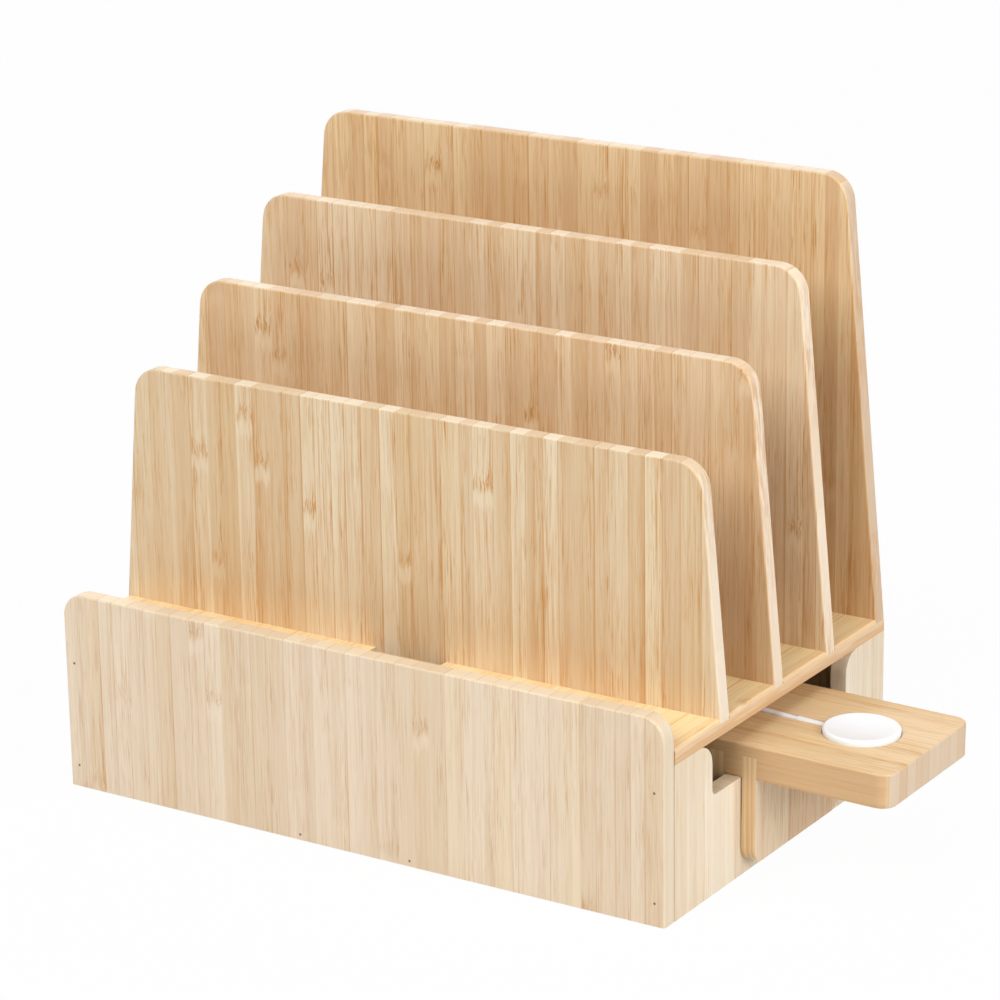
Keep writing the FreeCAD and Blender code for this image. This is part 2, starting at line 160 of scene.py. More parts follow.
def new_group(name: str, inputs: Sequence[tuple[str, str, Any]],
              outputs: Sequence[tuple[str, str]]) -> Sketch:
    """Empty shader node group with its sockets.

    Args:
        name: Name of the group.
        inputs: Name, socket type and default of each input.
        outputs: Name and socket type of each output.

    Returns:
        A sketch on the new group.
    """
    tree = bpy.data.node_groups.new(name, "ShaderNodeTree")
    for label, kind, default in inputs:
        socket = tree.interface.new_socket(label, in_out="INPUT", socket_type=kind)
        socket.default_value = default
    for label, kind in outputs:
        tree.interface.new_socket(label, in_out="OUTPUT", socket_type=kind)
    return Sketch(tree)


class BambooPattern:
    """Node group for side-pressed bamboo: strips set on edge, each with its own tone, fibres and knuckles.

    A strip's number is the whole part of the distance across the board divided by the strip's width, after
    a slow wander that makes the widths uneven. The number seeds the strip's tone, the side its fibres crowd
    to and the height of its knuckle. Fibres are noise drawn out along the grain, and they swirl near a
    knuckle. Faces across the grain show the strips as blocks, and faces on a strip's side show its layers.

    Attributes:
        INPUTS: Name, socket type and default of each input.
        FINE: Width and length in metres of the fine fibres' grains.
        SPINDLE: The same of the short flecks.
        LINE: The same of the long lines.
        BROAD: The same of the broad shades.
        DASH: The same of the dashes at a knuckle.
        SWIRL: The same of the swirls near a knuckle.
        LAYER: Thickness and length in metres of the layers on a strip's side.
        THREAD: The same of the threads there.
        TEAR: The same of the ragged border above a darker layer.
        FLECKS: Marks that a leaning side has more of in a metre, so that they are shorter.
        PATCH: Length in metres of the patches in which a strip's fibres come and go.
        RAGGED: Width in metres of the steps in a knuckle's height.
        PORE: Size in metres of a pore in end grain.
        WANDER: Grains of the strips' uneven width in a metre.
        UNEVEN: How far the strips' joints wander, in strips.
        KNUCKLE_EVERY: Distance in metres between a strip's knuckles.
        KNUCKLE_REACH: Distance in metres from a knuckle in which the fibres swirl.
        SWIRL_BEND: How far in metres the swirls bend the fibres.
        PATCH_BEND: How far in metres the fibres bend along a strip.
        COOL: Tint of some strips.
        WARM: Tint of some others.
    """

    INPUTS = (
        ("Across", FLOAT, 0.0), ("Depth", FLOAT, 0.0), ("Along", FLOAT, 0.0), ("End Mask", FLOAT, 0.0),
        ("Edge Mask", FLOAT, 0.0), ("Strip Width", FLOAT, 0.007), ("Seed", FLOAT, 0.0),
        ("Spread", FLOAT, 1.0), ("Fibre", FLOAT, 1.0), ("Pale", COLOUR, PLAIN), ("Deep", COLOUR, PLAIN),
        ("Knuckle", COLOUR, PLAIN), ("Edge", COLOUR, PLAIN), ("End", COLOUR, PLAIN), ("Side", FLOAT, 0.3),
        ("Ply", FLOAT, -1.0), ("Slant", FLOAT, 0.0),
    )
    FINE: Grains = (0.00046, 0.020)
    SPINDLE: Grains = (0.0008, 0.013)
    LINE: Grains = (0.0009, 0.065)
    BROAD: Grains = (0.0028, 0.250)
    DASH: Grains = (0.00052, 0.0060)
    SWIRL: Grains = (0.0020, 0.0045)
    LAYER: Grains = (0.0013, 0.12)
    THREAD: Grains = (0.0005, 0.020)
    TEAR: Grains = (0.0012, 0.022)
    FLECKS = 75.0
    PATCH = 0.05
    RAGGED = 0.0014
    PORE = 0.0009
    WANDER = 55.0
    UNEVEN = 1.1
    KNUCKLE_EVERY = 0.17
    KNUCKLE_REACH = 0.012
    SWIRL_BEND = 0.0024
    PATCH_BEND = 0.0011
    COOL: Colour = (0.986, 0.979, 0.982, 1.0)
    WARM: Colour = (1.0, 0.985, 0.945, 1.0)

    def __init__(self) -> None:
        """Open the group and lay out its strips, knuckles, fibres and joints."""
        self.sketch = new_group("bamboo_strips", self.INPUTS, SKIN_OUTPUTS)
        self.into = self.sketch.put("NodeGroupInput").outputs
        self.across, self.depth, self.along = (self.into[name] for name in ("Across", "Depth", "Along"))
        self.pale, self.deep, self.knuckle = (self.into[name] for name in ("Pale", "Deep", "Knuckle"))
        self.lay_strips()
        self.bend_fibres()
        self.dark, self.patch, self.above = self.knuckles()
        self.fine = self.fibres(self.FINE, 0.49, 0.62)
        self.strength = self.sketch.math("MULTIPLY", self.into["Fibre"], 0.8)
        self.joint, self.seam = self.joints()

    def lay_strips(self) -> None:
        """Number the strips, and draw each one's tone and its knuckle's place and strength.

        The odd factors and offsets keep the draws of different values apart.
        """
        math, chance = self.sketch.math, self.sketch.chance
        wander = self.sketch.put("ShaderNodeTexNoise", noise_dimensions="1D")
        uneven = math("MULTIPLY_ADD", self.across, self.WANDER, self.into["Seed"])
        self.sketch.feed(wander.inputs["W"], uneven)
        wander.inputs["Scale"].default_value = 1.0
        place = math("DIVIDE", self.across, self.into["Strip Width"])
        place = math("ADD", place, math("MULTIPLY_ADD", self.into["Seed"], 31.7, 400.0))
        place = math("MULTIPLY_ADD", wander.outputs[0], self.UNEVEN, place)
        number = math("FLOOR", place)
        self.part = math("FRACT", place)
        self.tone, flip, self.slip = chance(number)
        rise, boldness, self.hue = chance(math("MULTIPLY_ADD", number, 1.37, 71.3))
        self.seam_chance, self.lean, _ = chance(math("MULTIPLY_ADD", number, 2.11, 13.7))
        mirrored = math("MULTIPLY_ADD", self.part, -2.0, 1.0)
        self.crowd = math("MULTIPLY_ADD", math("GREATER_THAN", flip, 0.5), mirrored, self.part)
        self.shifted = math("MULTIPLY_ADD", self.slip, 0.9, self.along)
        self.patchy = self.sketch.noise(self.sketch.vector(
            math("MULTIPLY", number, 7.3), 0.0, math("DIVIDE", self.along, self.PATCH)), 1.0)
        turns = math("ADD", math("DIVIDE", self.along, self.KNUCKLE_EVERY), rise)
        self.off = math("MULTIPLY", math("SUBTRACT", math("FRACT", turns), 0.5), self.KNUCKLE_EVERY)
        self.bold = self.sketch.ramp(boldness, 0.25, 0.95, 0.12, 1.0)

    def bend_fibres(self) -> None:
        """Bend the fibres along each strip, swirl them near its knuckle, and weigh where they show."""
        math, ramp = self.sketch.math, self.sketch.ramp
        wide, long = self.SWIRL
        swirl = self.sketch.noise(self.sketch.vector(
            math("DIVIDE", self.across, wide), math("DIVIDE", self.depth, wide),
            math("DIVIDE", self.along, long)), 1.0)
        close = math("MULTIPLY", ramp(math("ABSOLUTE", self.off), self.KNUCKLE_REACH, 0.001), self.bold)
        bend = math("MULTIPLY", math("SUBTRACT", swirl, 0.5), math("MULTIPLY", close, self.SWIRL_BEND))
        bend = math("MULTIPLY_ADD", math("SUBTRACT", self.patchy, 0.5), self.PATCH_BEND, bend)
        self.bent = math("ADD", self.across, bend)
        self.come_and_go = ramp(self.patchy, 0.25, 0.62, 0.4, 1.0)
        self.weight = math("MULTIPLY", math("MULTIPLY_ADD", self.crowd, 0.65, 0.35), self.come_and_go)

    def streaks(self, grains: Grains, across: Any = None) -> Socket:
        """Noise drawn out along the grain, on the bent fibres or on another measure across them."""
        math = self.sketch.math
        wide, long = grains
        across = self.bent if across is None else across
        return self.sketch.noise(self.sketch.vector(
            math("DIVIDE", across, wide), math("DIVIDE", self.depth, wide),
            math("DIVIDE", self.shifted, long)))

    def fibres(self, grains: Grains, start: float, end: float) -> Socket:
        """Mask of streaks between two noise levels, strongest where the strip's fibres crowd."""
        return self.sketch.math("MULTIPLY", self.sketch.ramp(self.streaks(grains), start, end), self.weight)

    def layered(self, grains: Grains, more: Any = 0.0, row: float = 0.0) -> Socket:
        """Noise in layers on a strip's side.

        Args:
            grains: Thickness and length of its grains in metres.
            more: Count of grains along the strip that is added up to each place.
            row: Row of the noise, for a draw of its own.

        Returns:
            The noise's socket.
        """
        math = self.sketch.math
        thick, long = grains
        count = math("ADD", math("DIVIDE", self.along, long), more)
        return self.sketch.noise(self.sketch.vector(math("DIVIDE", self.depth, thick), row, count))

    def knuckles(self) -> tuple[Socket, Socket, Socket]:
        """Masks of the knuckle's dashes, of the pale patch below it and of the crowded fibres above it.

        Each strip has a knuckle at its own height. The height is ragged over the strip's width, and the
        dashes lean to one side.

        Returns:
            Masks of the dashes, the patch and the fibres above.
        """
        math, ramp = self.sketch.math, self.sketch.ramp
        ragged = self.sketch.noise(self.sketch.vector(
            math("DIVIDE", self.bent, self.RAGGED), math("DIVIDE", self.depth, self.RAGGED),
            math("MULTIPLY", self.slip, 50.0)), 1.0)
        torn = math("MULTIPLY_ADD", math("SUBTRACT", ragged, 0.5), 0.011, self.off)
        tilt = math("MULTIPLY_ADD", self.lean, 0.3, -0.15)
        dashes = ramp(self.streaks(self.DASH, math("MULTIPLY_ADD", self.off, tilt, self.bent)), 0.48, 0.60)
        reach = math("MULTIPLY_ADD", self.lean, 0.0026, 0.0034)
        core = ramp(math("DIVIDE", math("ABSOLUTE", torn), reach), 1.0, 0.15)
        core = math("MULTIPLY", core, math("MULTIPLY_ADD", dashes, 0.92, 0.08))
        below = ramp(math("ABSOLUTE", math("ADD", torn, 0.006)), 0.0045, 0.001)
        above = math("MULTIPLY", ramp(self.off, 0.030, 0.001), math("GREATER_THAN", self.off, -0.002))
        return tuple(math("MULTIPLY", mask, self.bold) for mask in (core, below, above))

    def joints(self) -> tuple[Socket, Socket]:
        """Masks of all the joints between strips and of those that show as dark seams on a face.

        Returns:
            Masks of the joints and the seams.
        """
        math, ramp = self.sketch.math, self.sketch.ramp
        near = math("MULTIPLY", math("SUBTRACT", 1.0, self.part), self.into["Strip Width"])
        joint = ramp(near, 0.0007, 0.0001)
        seam = math("MULTIPLY", joint, ramp(self.seam_chance, 0.2, 0.9, 0.0, 0.9))
        return joint, math("MULTIPLY", seam, math("MULTIPLY", self.come_and_go, self.strength), clamp=True)

    def face(self) -> Socket:
        """Colour of a board's faces: the strips' tones, then fibres, knuckles and seams.

        Returns:
            The colour's socket.
        """
        math, ramp, mix = self.sketch.math, self.sketch.ramp, self.sketch.mix
        broad = math("SUBTRACT", self.streaks(self.BROAD), 0.5)
        level = math("MULTIPLY_ADD", ramp(self.tone, 0.1, 0.9), 0.32, 0.14)
        level = math("MULTIPLY_ADD", self.crowd, 0.10, level)
        level = math("MULTIPLY_ADD", broad, 0.50, level)
        level = math("MULTIPLY", level, self.into["Spread"], clamp=True)
        face = mix(level, self.pale, self.deep)
        face = mix(ramp(self.hue, 0.62, 0.95), face, self.COOL, "MULTIPLY")
        face = mix(ramp(self.hue, 0.38, 0.05), face, self.WARM, "MULTIPLY")
        flecks = math("MULTIPLY", self.fine, math("MULTIPLY_ADD", self.above, 0.35, 0.48))
        flecks = math("MULTIPLY_ADD", self.fibres(self.SPINDLE, 0.56, 0.68), 0.50, flecks)
        flecks = math("MULTIPLY_ADD", self.fibres(self.LINE, 0.51, 0.62), 0.38, flecks)
        face = mix(math("MULTIPLY", flecks, self.into["Fibre"], clamp=True), face, self.knuckle)
        face = mix(math("MULTIPLY", self.patch, 0.45), face, self.pale)
        face = mix(math("MULTIPLY", self.dark, self.strength, clamp=True), face, self.knuckle)
        return mix(self.seam, face, self.knuckle)

    def edge(self) -> Socket:
        """Colour of the strips' sides: layers and threads, and a darker layer below the ply's place.

        A side that leans cuts across strips. Its marks are short, crowd to one side of each strip and take
        some of the strip's tone.

        Returns:
            The colour's socket.
        """
        math, ramp, mix = self.sketch.math, self.sketch.ramp, self.sketch.mix
        slant = self.into["Slant"]
        more = math("MULTIPLY", math("MULTIPLY", self.along, self.FLECKS), slant)
        share = math("SUBTRACT", ramp(self.crowd, 0.15, 0.95, 0.1, 1.0), 1.0)
        share = math("MULTIPLY", math("MULTIPLY_ADD", share, slant, 1.0), self.into["Side"])
        thread = math("MULTIPLY", ramp(self.layered(self.THREAD, more), 0.48, 0.66), share)
        side = math("MULTIPLY", ramp(self.layered(self.LAYER, more), 0.42, 0.62), share)
        side = math("MULTIPLY_ADD", math("MULTIPLY", self.tone, 0.25), slant, side, clamp=True)
        torn = math("SUBTRACT", self.layered(self.TEAR, row=3.0), 0.5)
        height = math("MULTIPLY_ADD", torn, 0.008, self.depth)
        under = ramp(math("SUBTRACT", height, self.into["Ply"]), 0.0016, -0.0012)
        edge = mix(side, self.into["Edge"], self.deep)
        for mask, amount in ((thread, 0.5), (under, 0.42), (self.dark, 0.2)):
            edge = mix(math("MULTIPLY", mask, amount), edge, self.knuckle)
        return edge

    def end(self) -> Socket:
        """Colour of end grain: a block for each strip, with pores and joints.

        Returns:
            The colour's socket.
        """
        math, ramp, mix = self.sketch.math, self.sketch.ramp, self.sketch.mix
        pores = self.sketch.put("ShaderNodeTexVoronoi", feature="F1")
        self.sketch.feed(pores.inputs["Vector"], self.sketch.vector(*(
            math("DIVIDE", value, self.PORE) for value in (self.across, self.depth, self.along))))
        pores.inputs["Scale"].default_value = 1.0
        pore = ramp(pores.outputs["Distance"], 0.42, 0.18)
        pore = math("MULTIPLY", pore, math("MULTIPLY_ADD", self.crowd, 0.22, 0.05))
        blocks = math("ADD", ramp(self.tone, 0.15, 0.95, 0.0, 0.5), pore)
        blocks = math("MULTIPLY", blocks, self.into["Spread"], clamp=True)
        end = mix(blocks, self.into["End"], self.deep)
        return mix(math("MULTIPLY", self.joint, 0.4), end, self.knuckle)

    def build(self) -> bpy.types.NodeTree:
        """Join the three kinds of face, and add their gloss and relief.

        Returns:
            The node group.
        """
        math, mix = self.sketch.math, self.sketch.mix
        colour = mix(self.into["Edge Mask"], self.face(), self.edge())
        colour = mix(self.into["End Mask"], colour, self.end())
        gloss = math("MULTIPLY_ADD", self.tone, 0.06, 0.44)
        relief = math("MULTIPLY_ADD", self.fine, -0.6, math("MULTIPLY", self.seam, -1.0))
        out = self.sketch.put("NodeGroupOutput").inputs
        self.sketch.feed(out["Color"], colour)
        self.sketch.feed(out["Roughness"], math("MULTIPLY_ADD", self.fine, 0.14, gloss))
        self.sketch.feed(out["Height"], relief)
        return self.sketch.tree


def skin_group() -> bpy.types.NodeTree:
    """Group for moulded or plated skins: faint cloudy tint, fine pits and an uneven gloss.

    Returns:
        The node group.
    """
    sketch = new_group(
        "fine_skin",
        (("Vector", "NodeSocketVector", (0.0, 0.0, 0.0)), ("Base", COLOUR, PLAIN), ("Tint", COLOUR, PLAIN),
         ("Gloss", FLOAT, 0.3), ("Spread", FLOAT, 0.08), ("Pit Size", FLOAT, 0.0004)),
        SKIN_OUTPUTS,
    )
    into = sketch.put("NodeGroupInput").outputs

    def at_scale(size: Any) -> Socket:
        """The place on the piece in grains of that size."""
        node = sketch.put("ShaderNodeVectorMath", operation="SCALE")
        sketch.feed(node.inputs[0], into["Vector"])
        sketch.feed(node.inputs["Scale"], sketch.math("DIVIDE", 1.0, size))
        return node.outputs[0]

    cloud = sketch.noise(at_scale(CLOUD_SIZE), 3.0)
    pits = sketch.noise(at_scale(into["Pit Size"]))
    out = sketch.put("NodeGroupOutput").inputs
    sketch.feed(out["Color"], sketch.mix(sketch.ramp(cloud, 0.35, 0.7), into["Base"], into["Tint"]))
    spread = sketch.math("MULTIPLY", sketch.math("SUBTRACT", cloud, 0.5), into["Spread"])
    sketch.feed(out["Roughness"], sketch.math("ADD", into["Gloss"], spread, clamp=True))
    sketch.feed(out["Height"], pits)
    return sketch.tree


class Grain(Enum):
    """Axes across the strips, through the board and along the grain, as places in X, Y, Z."""

    UPRIGHT_WIDE = (0, 1, 2)
    UPRIGHT_DEEP = (1, 0, 2)
    FRONT_TO_BACK = (0, 2, 1)
    SIDE_TO_SIDE = (1, 2, 0)


def shaded_material(name: str) -> tuple[bpy.types.Material, Sketch, bpy.types.Node]:
    """New material with one principled shader.

    Args:
        name: Name of the material.

    Returns:
        The material, a sketch on its tree, and the shader.
    """
    material = bpy.data.materials.new(name)
    material.use_nodes = True
    material.node_tree.nodes.clear()
    sketch = Sketch(material.node_tree)
    shader = sketch.put("ShaderNodeBsdfPrincipled")
    output = sketch.put("ShaderNodeOutputMaterial")
    sketch.feed(output.inputs["Surface"], shader.outputs[0])
    return material, sketch, shader


def add_bump(sketch: Sketch, shader: bpy.types.Node, height: Socket, distance: float) -> None:
    """Give the shader a bump of that depth in metres."""
    bump = sketch.put("ShaderNodeBump")
    bump.inputs["Strength"].default_value = 1.0
    bump.inputs["Distance"].default_value = distance
    sketch.feed(bump.inputs["Height"], height)
    sketch.feed(shader.inputs["Normal"], bump.outputs[0])


@dataclass(frozen=True)
class BambooTones:
    """Colours of one batch of bamboo.

    Attributes:
        pale: Colour of the palest strips.
        deep: Colour of the darkest strips.
        edge: Colour of a strip's side, where a board ends across its strips.
        end: Colour of the palest end grain.
        knuckle: Colour of the dashes at the knuckles and of dark glue lines.
    """

    pale: Colour
    deep: Colour
    edge: Colour
    end: Colour
    knuckle: Colour = srgb(197, 140, 73)


@dataclass(frozen=True)
class BambooFinish:
    """Lacquered bamboo on one board.

    Attributes:
        name: Name of the material.
        grain: How the strips lie.
        tones: The board's colours.
        seed: Number that draws this board's own strips.
        strip: Width of a strip in metres.
        spread: How far the strips' tones spread.
        fibre: How strongly the fibres show.
        side: How strongly lines show on the strips' sides.
        ply: Place through the board, in metres, below which its side shows a darker layer.
        slant: 1 where the board's sides lean and cut across strips, else 0.
    """

    name: str
    grain: Grain
    tones: BambooTones
    seed: float
    strip: float = 0.007
    spread: float = 1.0
    fibre: float = 1.0
    side: float = 0.2
    ply: float = -1.0
    slant: float = 0.0

    def material(self, group: bpy.types.NodeTree) -> bpy.types.Material:
        """Material of this finish.

        Args:
            group: The bamboo node group.

        Returns:
            The new material.
        """
        material, sketch, shader = shaded_material(self.name)
        place = sketch.put("ShaderNodeTexCoord")
        axes = sketch.put("ShaderNodeSeparateXYZ")
        sketch.feed(axes.inputs[0], place.outputs["Object"])
        facing = sketch.put("ShaderNodeSeparateXYZ")
        sketch.feed(facing.inputs[0], place.outputs["Normal"])
        across, depth, along = self.grain.value
        tones = self.tones

        def mask(axis: int) -> Socket:
            """1 on faces that look along an axis, else 0."""
            return sketch.ramp(sketch.math("ABSOLUTE", facing.outputs[axis]), 0.6, 0.85)

        values = {
            "Across": axes.outputs[across], "Depth": axes.outputs[depth], "Along": axes.outputs[along],
            "End Mask": mask(along), "Edge Mask": mask(across), "Strip Width": self.strip, "Seed": self.seed,
            "Spread": self.spread, "Fibre": self.fibre, "Pale": tones.pale, "Deep": tones.deep,
            "Knuckle": tones.knuckle, "Edge": tones.edge, "End": tones.end, "Side": self.side,
            "Ply": self.ply, "Slant": self.slant,
        }
        wood = sketch.put("ShaderNodeGroup", node_tree=group)
        for label, value in values.items():
            sketch.feed(wood.inputs[label], value)
        sketch.feed(shader.inputs["Base Color"], wood.outputs["Color"])
        sketch.feed(shader.inputs["Roughness"], wood.outputs["Roughness"])
        shader.inputs["Specular IOR Level"].default_value = 0.35
        add_bump(sketch, shader, wood.outputs["Height"], GRAIN_DEPTH)
        return material


@dataclass(frozen=True)
class SkinFinish:
    """Moulded plastic, plated metal or another even skin.

    Attributes:
        name: Name of the material.
        base: Main colour.
        tint: Colour that it clouds towards.
        gloss: Mean roughness.
        spread: How far the roughness varies.
        pit_size: Size of the surface's pits in metres.
        pit_depth: Depth of the pits in metres.
        metallic: 1 for metal, 0 for the rest.
    """

    name: str
    base: Colour
    tint: Colour
    gloss: float
    spread: float = 0.1
    pit_size: float = 0.0004
    pit_depth: float = 0.000004
    metallic: float = 0.0

    def material(self, group: bpy.types.NodeTree) -> bpy.types.Material:
        """Material of this finish.

        Args:
            group: The skin node group.

        Returns:
            The new material.
        """
        material, sketch, shader = shaded_material(self.name)
        place = sketch.put("ShaderNodeTexCoord")
        skin = sketch.put("ShaderNodeGroup", node_tree=group)
        values = {
            "Vector": place.outputs["Object"], "Base": self.base, "Tint": self.tint, "Gloss": self.gloss,
            "Spread": self.spread, "Pit Size": self.pit_size,
        }
        for label, value in values.items():
            sketch.feed(skin.inputs[label], value)
        sketch.feed(shader.inputs["Base Color"], skin.outputs["Color"])
        sketch.feed(shader.inputs["Roughness"], skin.outputs["Roughness"])
        shader.inputs["Metallic"].default_value = self.metallic
        shader.inputs["Specular IOR Level"].default_value = 0.5
        add_bump(sketch, shader, skin.outputs["Height"], self.pit_depth)
        return material


Finish = BambooFinish | SkinFinish


@dataclass
class Workshop:
    """Holds the shared node groups and dresses nodes with finishes."""

    bamboo: bpy.types.NodeTree = field(default_factory=lambda: BambooPattern().build())
    skin: bpy.types.NodeTree = field(default_factory=skin_group)
    made: dict[str, bpy.types.Material] = field(default_factory=dict)

    def material(self, finish: Finish) -> bpy.types.Material:
        """Material of a finish, made once."""
        if finish.name not in self.made:
            group = self.bamboo if isinstance(finish, BambooFinish) else self.skin
            self.made[finish.name] = finish.material(group)
        return self.made[finish.name]

    def dress(self, finishes: dict[str, Finish]) -> None:
        """Put finishes on nodes of the frame.

        Args:
            finishes: Finish of each node, by the node's name.
        """
        for node, finish in finishes.items():
            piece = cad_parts[node]
            piece.material_slots[0].material = self.material(finish)
            LOG.info("%s: %s", node, finish.name)


@dataclass
class CordBox:
    """The open-topped box that hides the cords."""

    front: BambooTones = BambooTones(
        srgb(238, 222, 198), srgb(204, 172, 136), srgb(224, 209, 186), srgb(232, 213, 184),
        srgb(200, 152, 98))
    walls: BambooTones = BambooTones(
        srgb(240, 231, 213), srgb(212, 188, 154), srgb(230, 214, 190), srgb(234, 215, 186),
        srgb(206, 158, 98))

    def build(self, workshop: Workshop) -> None:
        """Dress the box."""
        wide, deep, flat = Grain.UPRIGHT_WIDE, Grain.UPRIGHT_DEEP, Grain.SIDE_TO_SIDE
        workshop.dress({
            "front_panel": BambooFinish(
                "front_panel_bamboo", wide, self.front, 1.0, spread=0.75, fibre=0.7),
            "left_side_panel": BambooFinish("left_side_bamboo", deep, self.walls, 2.0, fibre=0.5),
            "right_side_panel": BambooFinish("right_side_bamboo", deep, self.walls, 3.0, fibre=0.5),
            "back_panel": BambooFinish("back_panel_bamboo", wide, self.walls, 4.0, fibre=0.8),
            "bottom_panel": BambooFinish("bottom_panel_bamboo", flat, self.walls, 5.0, fibre=0.8),
            "front_brads": SkinFinish("brad_heads", srgb(138, 108, 80), srgb(112, 84, 60), 0.6),
        })


@dataclass
class DividerLid:
    """The lift-off shelf with its upright dividers."""

    front: BambooTones = BambooTones(
        srgb(234, 220, 191), srgb(203, 167, 121), srgb(234, 220, 200), srgb(238, 221, 195))
    # Behind the front divider the tones are deeper and redder, the back divider's most. This is partly the
    # boards' own tone and partly painted shade for the slots between the dividers.
    second: BambooTones = BambooTones(
        srgb(236, 212, 176), srgb(202, 157, 108), srgb(236, 222, 202), srgb(236, 218, 193))
    third: BambooTones = BambooTones(
        srgb(238, 219, 187), srgb(206, 165, 118), srgb(236, 220, 198), srgb(236, 218, 193))
    # The back divider's pale and deep tones and its darker edge and end colours are partly painted shade,
    # standing for the shade deep behind the other dividers.
    back: BambooTones = BambooTones(
        srgb(235, 208, 165), srgb(198, 150, 100), srgb(210, 190, 166), srgb(221, 202, 175))
    shelf: BambooTones = BambooTones(
        srgb(253, 232, 185), srgb(236, 187, 124), srgb(226, 199, 166), srgb(236, 214, 180))

    def build(self, workshop: Workshop) -> None:
        """Dress the lid."""
        wide = Grain.UPRIGHT_WIDE
        batten = BambooFinish("batten_bamboo", Grain.SIDE_TO_SIDE, self.shelf, 12.0)
        workshop.dress({
            "front_divider": BambooFinish(
                "front_divider_bamboo", wide, self.front, 6.0, spread=1.25, side=0.6, slant=1.0),
            "second_divider": BambooFinish(
                "second_divider_bamboo", wide, self.second, 7.0, fibre=1.1, side=0.6, slant=1.0),
            "third_divider": BambooFinish(
                "third_divider_bamboo", wide, self.third, 8.0, spread=1.15, fibre=1.1, side=0.5,
                slant=1.0),
            "back_divider": BambooFinish(
                "back_divider_bamboo", wide, self.back, 9.0, fibre=1.1, side=0.5, slant=1.0),
            "lid_shelf": BambooFinish(
                "lid_shelf_bamboo", Grain.FRONT_TO_BACK, self.shelf, 11.0, spread=0.85, fibre=0.55,
                side=0.35, ply=60.7 * MM),
            "front_batten": batten,
            "back_left_batten": batten,
            "back_right_batten": batten,
            "divider_screws": SkinFinish("screw_zinc", srgb(190, 190, 192), srgb(160, 160, 165), 0.34,
                                         metallic=1.0),
        })


@dataclass
class SideTray:
    """The hook-on tray and its two hook plates."""

    strip: float = 5.5 * MM
    board: BambooTones = BambooTones(
        srgb(229, 203, 162), srgb(200, 160, 110), srgb(209, 173, 131), srgb(213, 191, 165))
    hooks: BambooTones = BambooTones(
        srgb(240, 224, 198), srgb(202, 158, 106), srgb(232, 201, 157), srgb(230, 208, 178))

    def build(self, workshop: Workshop) -> None:
        """Dress the tray."""
        hook = BambooFinish(
            "hook_plate_bamboo", Grain.UPRIGHT_DEEP, self.hooks, 14.0, self.strip, 0.8, side=0.5)
        board = BambooFinish(
            "tray_board_bamboo", Grain.SIDE_TO_SIDE, self.board, 13.0, self.strip, 0.8, 0.95, side=0.5)
        workshop.dress({"tray_board": board, "outer_hook_plate": hook, "inner_hook_plate": hook})


WHITE_GLOSS = SkinFinish("puck_white", srgb(242, 246, 250), srgb(240, 244, 248), 0.26, 0.05)
WHITE_JACKET = SkinFinish("cord_white", srgb(236, 237, 239), srgb(230, 231, 233), 0.42, 0.08, 0.0003)


@dataclass
class ChargingPuck:
    """The round charging puck with what is inside it and the cord's strain relief."""

    def build(self, workshop: Workshop) -> None:
        """Dress the puck."""
        workshop.dress({
            "puck_housing": WHITE_GLOSS,
            "puck_face": WHITE_GLOSS,
            "strain_relief": WHITE_JACKET,
            "puck_circuit_board": SkinFinish("board_green", srgb(32, 92, 58), srgb(24, 72, 46), 0.4),
            "puck_shield": SkinFinish("ferrite_grey", srgb(58, 58, 62), srgb(46, 46, 48), 0.6),
            "charging_coil": SkinFinish("coil_copper", srgb(196, 120, 78), srgb(170, 96, 60), 0.35,
                                        metallic=1.0),
            "alignment_magnet": SkinFinish("magnet_nickel", srgb(205, 205, 206), srgb(185, 185, 188), 0.2,
                                           metallic=1.0),
        })


def mesh_piece(name: str, points: np.ndarray, faces: Sequence[Sequence[int]]) -> bpy.types.Object:
    """Object at the origin with a smooth mesh of points in metres.

    Args:
        name: Name of the piece.
        points: Array of points, one row each.
        faces: Faces as point numbers, wound outwards.

    Returns:
        The new object, linked to the scene.
    """
    mesh = bpy.data.meshes.new(name)
    mesh.from_pydata(points.tolist(), [], faces)
    mesh.shade_smooth()
    piece = bpy.data.objects.new(name, mesh)
    bpy.context.scene.collection.objects.link(piece)
    return piece


def tube_faces(rings: int, around: int) -> list[list[int]]:
    """Faces of a closed strap: quads between rings of points and a cap at each end.

    Args:
        rings: Number of rings.
        around: Number of points in a ring.

    Returns:
        Faces as point numbers.
    """
    ring = np.arange(rings - 1)[:, None] * around
    here = np.arange(around)[None, :]
    ahead = (here + 1) % around
    corners = (ring + here, ring + ahead, ring + around + ahead, ring + around + here)
    quads = np.stack([c.ravel() for c in corners], axis=1).tolist()
    last = (rings - 1) * around
    return [*quads, list(range(around - 1, -1, -1)), list(range(last, last + around))]


